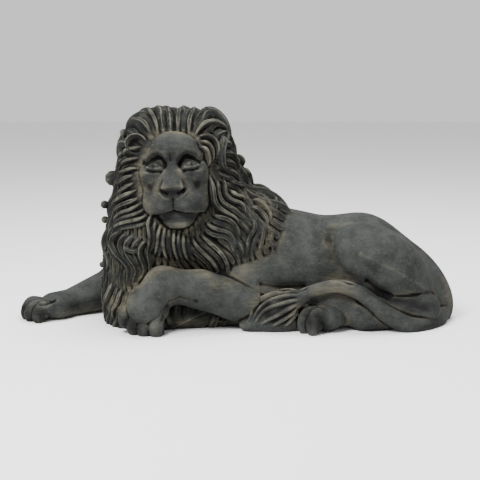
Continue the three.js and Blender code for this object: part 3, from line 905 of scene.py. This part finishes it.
# Stains and painted shade: black grime, with painted shade in the creases and hollows, eye sockets,
# ears and under the limbs where they meet the ground, and olive dust that has settled on the stone,
# on the side that faces the viewer. Each row holds a strength, a width and a line on the front
# view.
STAINS = {
    # Black grime, partly painted shade: darkening in creases, hollows, eye sockets and ears, round
    # the toes and along the ground under the body
    "grime_and_shade": (
        (0.85, 24, [(-283, 332)]),
        (0.85, 17, [(-302, 269), (-303, 234)]),
        (0.8, 14, [(-316, 121)]),
        (0.8, 14, [(-251, 440)]),
        (1, 17, [(-501, 21), (-495, -3), (-476, -10)]),
        (1, 17, [(-466, 14), (-457, -10)]),
        (1, 17, [(-258, -13), (-237, -27)]),
        (1, 17, [(191, 2), (203, -27)]),
        (0.9, 13, [(163, 6), (173, -18)]),
        (0.3, 16, [(219, 201), (218, 159), (232, 121)]),
        (0.45, 50, [(-165, 369), (-130, 369), (-126, 288), (-163, 288)]),
        (0.95, 8, [(-238, 417), (-226, 417)]),
        (0.9, 7, [(-75, 431), (-54, 429)]),
        (0.9, 5, [(60, 11), (97, 14)]),
        (1, 12, [(-172, 296), (-147, 294), (-124, 296)]),
        (0.7, 5, [(-147, 283), (-147, 258)]),
        (0.9, 4, [(-192, 240), (-147, 251), (-90, 242)]),
        (0.9, 7, [(-156, 288), (-140, 288)]),
        (0.9, 12, [(-216, 318)]),
        (1, 15, [(-89, 313)]),
        (0.8, 12, [(-166, 236), (-131, 234), (-103, 236)]),
        (1, 9, [(-497, 14), (-490, -6)]),
        (1, 9, [(-457, 14), (-450, -6)]),
        (0.9, 13, [(-476, 6)]),
        (1, 9, [(-255, -8), (-248, -27)]),
        (0.8, 7, [(-227, -13)]),
        (1, 10, [(194, -3), (203, -30)]),
        (1, 14, [(312, 64), (371, 38), (442, 21)]),
        (0.8, 12, [(431, -32), (478, -13)]),
        (0.7, 12, [(302, -32), (373, -32)]),
        (0.6, 12, [(-386, 21), (-320, 30)]),
        (0.8, 12, [(-161, 16), (-133, 30), (-86, 11)]),
        (0.7, 12, [(-16, -22), (60, 11), (102, 14)]),
        (0.8, 7, [(-206, 362), (-181, 362)]),
        (0.8, 7, [(-121, 367), (-89, 364)]),
    ),
    "dust": (
        (0.8, 7, [(-204, 392), (-220, 357), (-223, 323), (-214, 276), (-201, 248)]),
        (0.4, 6, [(-72, 415), (-66, 369), (-68, 311), (-71, 264)]),
        (0.9, 6, [(-199, 424), (-176, 431), (-148, 433), (-120, 431), (-91, 422)]),
        (0.9, 10, [(-178, 211), (-145, 204), (-113, 213)]),
        (0.9, 12, [(-254, 64), (-226, 83), (-202, 107), (-167, 123), (-109, 119), (-69, 102)]),
        (0.8, 12, [(-292, 40), (-269, 21), (-254, 40)]),
        (0.8, 12, [(221, 88), (265, 85), (230, 64)]),
        (0.7, 14, [(191, 62), (230, 62), (266, 50)]),
        (0.7, 10, [(36, 28), (60, 50), (106, 59)]),
        (0.8, 10, [(130, 2), (144, 21)]),
        (0.5, 14, [(43, 130), (73, 182), (82, 241), (59, 276)]),
        (0.5, 14, [(-53, 76), (-11, 83), (27, 116)]),
        (0.6, 6, [(-135, 350), (-117, 318), (-108, 290)]),
        (0.6, 6, [(-170, 341), (-181, 309), (-193, 276)]),
        (0.5, 12, [(487, 88), (500, 40)]),
        (0.5, 10, [(-157, -13), (-91, -15), (-39, -13)]),
        (0.5, 12, [(-415, -3), (-332, 18)]),
    ),
}


def keep_values(name, values):
    """Keeps a value for each point, under the name that the stone's colour reads."""
    layer = fused.attributes.new(name, "FLOAT", "POINT")
    layer.data.foreach_set("value", values.astype(np.float32))


for name, places in STAINS.items():
    share = np.zeros(len(parts))
    for strength, width, line in places:
        share = np.maximum(share, strength * fade(front_view[:, 0], front_view[:, 2], line, width))
    keep_values(name, share * facing)

# Wear: the stone stays blacker in the hair than on the skin, which is rubbed more. Each point also
# keeps how far it lies in a hollow or on a ridge, at the scale of a strand and at that of a lock,
# for the dust, painted shade and painted highlights of the colour
HAIR_EDGE = 26
HAIR_FADE = 10
SKIN_FADE = 6
STRAND_ROUNDS = 20
LOCK_ROUNDS = 150
on_hair = np.clip((HAIR_EDGE - mane_mass(parts)) / HAIR_FADE, 0, 1)
for skin in (face((parts - HEAD) @ head_axes), near_foreleg(parts), trunk(parts)):
    on_hair *= np.clip(skin / SKIN_FADE - 0.3, 0, 1)
keep_values("hair", on_hair)
fine_blur = smoothed(points, STRAND_ROUNDS)
broad_blur = smoothed(fine_blur, LOCK_ROUNDS)
for name, blur in (("strand_depth", fine_blur), ("lock_depth", broad_blur)):
    depth = ((blur - points) * normals).sum(1) / VOXEL
    keep_values(name, smoothed(depth[:, None], 1)[:, 0])

# Base: the stone is flat underneath, cut at the ground on which the lion rests. The skin is
# thinned before the cut, to the number of faces that one piece may have
FACES = 195000
thin = lion.modifiers.new("thin", "DECIMATE")
thin.ratio = min(1, FACES / (2 * len(fused.polygons)))
fused = take_modified()
cut = bmesh.new()
cut.from_mesh(fused)
bmesh.ops.bisect_plane(
    cut, geom=cut.verts[:] + cut.edges[:] + cut.faces[:], dist=1e-5, plane_co=(0, 0, 0),
    plane_no=(0, 0, 1), clear_inner=True,
)
open_rim = [e for e in cut.edges if e.is_boundary]
bmesh.ops.triangle_fill(cut, edges=open_rim, normal=(0, 0, -1), use_beauty=True)
bmesh.ops.triangulate(cut, faces=[f for f in cut.faces if len(f.verts) > 3])
for f in cut.faces:
    f.smooth = True
cut.to_mesh(fused)
cut.free()
fused.name = "lion-casting"

# Dark stone: a cast stone with painted shade that makes it nearly black in the deep cuts and
# hollows, and a painted highlight on its ridges, which are also paler where hands and brushes rub
# them, with olive dust in the hollows, black grime and painted shade from the stains, and a fine
# brushed grain. Its colour is laid in layers, the last one on top.
DARK_STONE = (0.016, 0.0175, 0.017)
GREY_STONE = (0.038, 0.041, 0.038)
BRUSHED_GREY = (0.085, 0.085, 0.075)
HAIR_BLACK = (0.006, 0.007, 0.0065)
OLIVE_DUST = (0.1, 0.088, 0.056)
PALE_DUST = (0.105, 0.094, 0.064)
# Painted shade: near black in the deep hollows between locks, where shade falls
HOLLOW_PAINTED_SHADE = (0.002, 0.002, 0.002)
# Painted shade: black in the narrow grooves between strands
CUT_PAINTED_SHADE = (0.001, 0.001, 0.001)
# Pale beige on the ridges: rubbed wear, and a painted highlight where light catches them
RUBBED_RIDGE_AND_HIGHLIGHT = (0.17, 0.158, 0.12)
# Near black for grime and for painted shade in creases and hollows
GRIME_AND_SHADE_BLACK = (0.004, 0.004, 0.004)
stone = bpy.data.materials.new("dark-stone")
stone.use_nodes = True
nodes = stone.node_tree.nodes
links = stone.node_tree.links
shader = nodes["Principled BSDF"]
shader.inputs["Specular IOR Level"].default_value = 0.1
where = nodes.new("ShaderNodeTexCoord")


def noise(scale, detail, rough, stretch=(1, 1, 1)):
    """A cloudy pattern in the stone, which may be stretched along an axis."""
    place = nodes.new("ShaderNodeMapping")
    place.inputs["Scale"].default_value = stretch
    links.new(where.outputs["Object"], place.inputs["Vector"])
    grain = nodes.new("ShaderNodeTexNoise")
    grain.inputs["Scale"].default_value = scale
    grain.inputs["Detail"].default_value = detail
    grain.inputs["Roughness"].default_value = rough
    links.new(place.outputs["Vector"], grain.inputs["Vector"])
    return grain.outputs["Fac"]


def spread(value, low, high, to_low=0, to_high=1):
    """A value between low and high, spread over another range."""
    node = nodes.new("ShaderNodeMapRange")
    node.inputs["From Min"].default_value = low
    node.inputs["From Max"].default_value = high
    node.inputs["To Min"].default_value = to_low
    node.inputs["To Max"].default_value = to_high
    links.new(value, node.inputs["Value"])
    return node.outputs["Result"]


def times(a, b):
    """Two values multiplied."""
    node = nodes.new("ShaderNodeMath")
    node.operation = "MULTIPLY"
    links.new(a, node.inputs[0])
    links.new(b, node.inputs[1])
    return node.outputs[0]


def tinted(colour, over, share):
    """A colour with another laid over a share of it."""
    node = nodes.new("ShaderNodeMix")
    node.data_type = "RGBA"
    links.new(share, node.inputs["Factor"])
    if isinstance(colour, tuple):
        node.inputs[6].default_value = (*colour, 1)
    else:
        links.new(colour, node.inputs[6])
    node.inputs[7].default_value = (*over, 1)
    return node.outputs[2]


def kept(name):
    """What the skin keeps for each point under a name."""
    node = nodes.new("ShaderNodeAttribute")
    node.attribute_name = name
    return node.outputs["Fac"]


mottle = noise(20, 7, 0.7)
grain = noise(220, 4, 0.75)
brushed = noise(60, 5, 0.7, (0.35, 1, 2.2))
strand_depth = kept("strand_depth")
lock_depth = kept("lock_depth")
brushed_grain = times(spread(grain, 0.48, 0.8), spread(brushed, 0.4, 0.7))
hair = times(kept("hair"), spread(mottle, 0.35, 0.7, 0.95, 0.45))
hollows = times(spread(lock_depth, 0.1, 0.7), spread(mottle, 0.4, 0.6, 0.1, 0.5))
dust = times(kept("dust"), spread(brushed, 0.35, 0.6, 0.1, 0.9))
# Painted shade: the deep hollows of lock size go near black
painted_shade_in_hollows = spread(lock_depth, 0.7, 2.0, 0, 0.9)
# Painted shade: the grooves of strand size go black
painted_shade_in_cuts = spread(strand_depth, 0.04, 0.4, 0, 0.97)
# Ridges of strand size go pale: rubbed wear and a painted highlight
rubbed_ridges_and_highlights = times(spread(strand_depth, -0.25, -0.9, 0, 1), spread(mottle, 0.38, 0.62, 0.3, 0.9))
# Grime and painted shade, laid last, where the stains table puts them
grime_and_shade = times(kept("grime_and_shade"), spread(brushed, 0.4, 0.62, 0.95, 0.6))
colour = DARK_STONE
for over, share in (
    (GREY_STONE, spread(mottle, 0.36, 0.64)),
    (BRUSHED_GREY, brushed_grain),
    (HAIR_BLACK, hair),
    (OLIVE_DUST, hollows),
    (PALE_DUST, dust),
    (HOLLOW_PAINTED_SHADE, painted_shade_in_hollows),
    (CUT_PAINTED_SHADE, painted_shade_in_cuts),
    (RUBBED_RIDGE_AND_HIGHLIGHT, rubbed_ridges_and_highlights),
    (GRIME_AND_SHADE_BLACK, grime_and_shade),
):
    colour = tinted(colour, over, share)
links.new(colour, shader.inputs["Base Color"])
links.new(spread(brushed, 0.3, 0.7, 0.72, 0.9), shader.inputs["Roughness"])
bump = nodes.new("ShaderNodeBump")
bump.inputs["Strength"].default_value = 0.7
bump.inputs["Distance"].default_value = 0.002
links.new(brushed, bump.inputs["Height"])
links.new(bump.outputs["Normal"], shader.inputs["Normal"])
fused.materials.clear()
fused.materials.append(stone)
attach(lion, "root")
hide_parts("lion")

# Floor: a plain pale sheet of paper that the statue stands on. It is part of the studio and not
# of the object
FLOOR_HALF_WIDTH = 8
sheet = bmesh.new()
bmesh.ops.create_grid(sheet, x_segments=1, y_segments=1, size=FLOOR_HALF_WIDTH)
floor_mesh = bpy.data.meshes.new("floor")
sheet.to_mesh(floor_mesh)
sheet.free()
floor = bpy.data.objects.new("floor", floor_mesh)
bpy.context.scene.collection.objects.link(floor)
paper = bpy.data.materials.new("pale-floor")
paper.use_nodes = True
paper_shader = paper.node_tree.nodes["Principled BSDF"]
paper_shader.inputs["Base Color"].default_value = (0.85, 0.85, 0.85, 1)
paper_shader.inputs["Roughness"].default_value = 0.9
floor_mesh.materials.append(paper)

# Studio light: a pale room and two large soft boxes, one in front and one above, which both point
# at the middle of the statue
LIT_POINT = Vector((0, 0, 0.25))
world = bpy.data.worlds.new("studio")
world.use_nodes = True
room = world.node_tree.nodes["Background"]
room.inputs["Color"].default_value = (1, 1, 1, 1)
room.inputs["Strength"].default_value = 0.9
bpy.context.scene.world = world
for name, place, size, power in (
    ("front box", (-1.1, -1.8, 2.6), 1.1, 190),
    ("top box", (0.6, 0.5, 3.0), 2.0, 130),
):
    light = bpy.data.lights.new(name, "AREA")
    light.size = size
    light.energy = power
    lamp = bpy.data.objects.new(name, light)
    lamp.location = place
    lamp.rotation_euler = (LIT_POINT - Vector(place)).to_track_quat("-Z", "Y").to_euler()
    bpy.context.scene.collection.objects.link(lamp)

# Camera: in front of the lion's shown side and a little above it, as in the photograph, at the
# place that the locks are drawn from
CAMERA_DISTANCE = VIEW_DISTANCE * PART
PHOTO_WIDTH = 480
PARTS_A_PIXEL = 2.3256
FRAME_WIDTH = PHOTO_WIDTH * PARTS_A_PIXEL * PART
SENSOR_WIDTH = 36
aim = Vector(((AIM_X - MIDDLE[0]) * PART, -MIDDLE[1] * PART, AIM_Z * PART))
camera_data = bpy.data.cameras.new("camera")
camera_data.sensor_width = SENSOR_WIDTH
camera_data.lens = SENSOR_WIDTH * CAMERA_DISTANCE / FRAME_WIDTH
camera = bpy.data.objects.new("camera", camera_data)
camera.location = aim + CAMERA_DISTANCE * Vector((0, -math.cos(VIEW_RISE), math.sin(VIEW_RISE)))
camera.rotation_euler = (math.pi / 2 - VIEW_RISE, 0, 0)
bpy.context.scene.collection.objects.link(camera)
bpy.context.scene.camera = camera
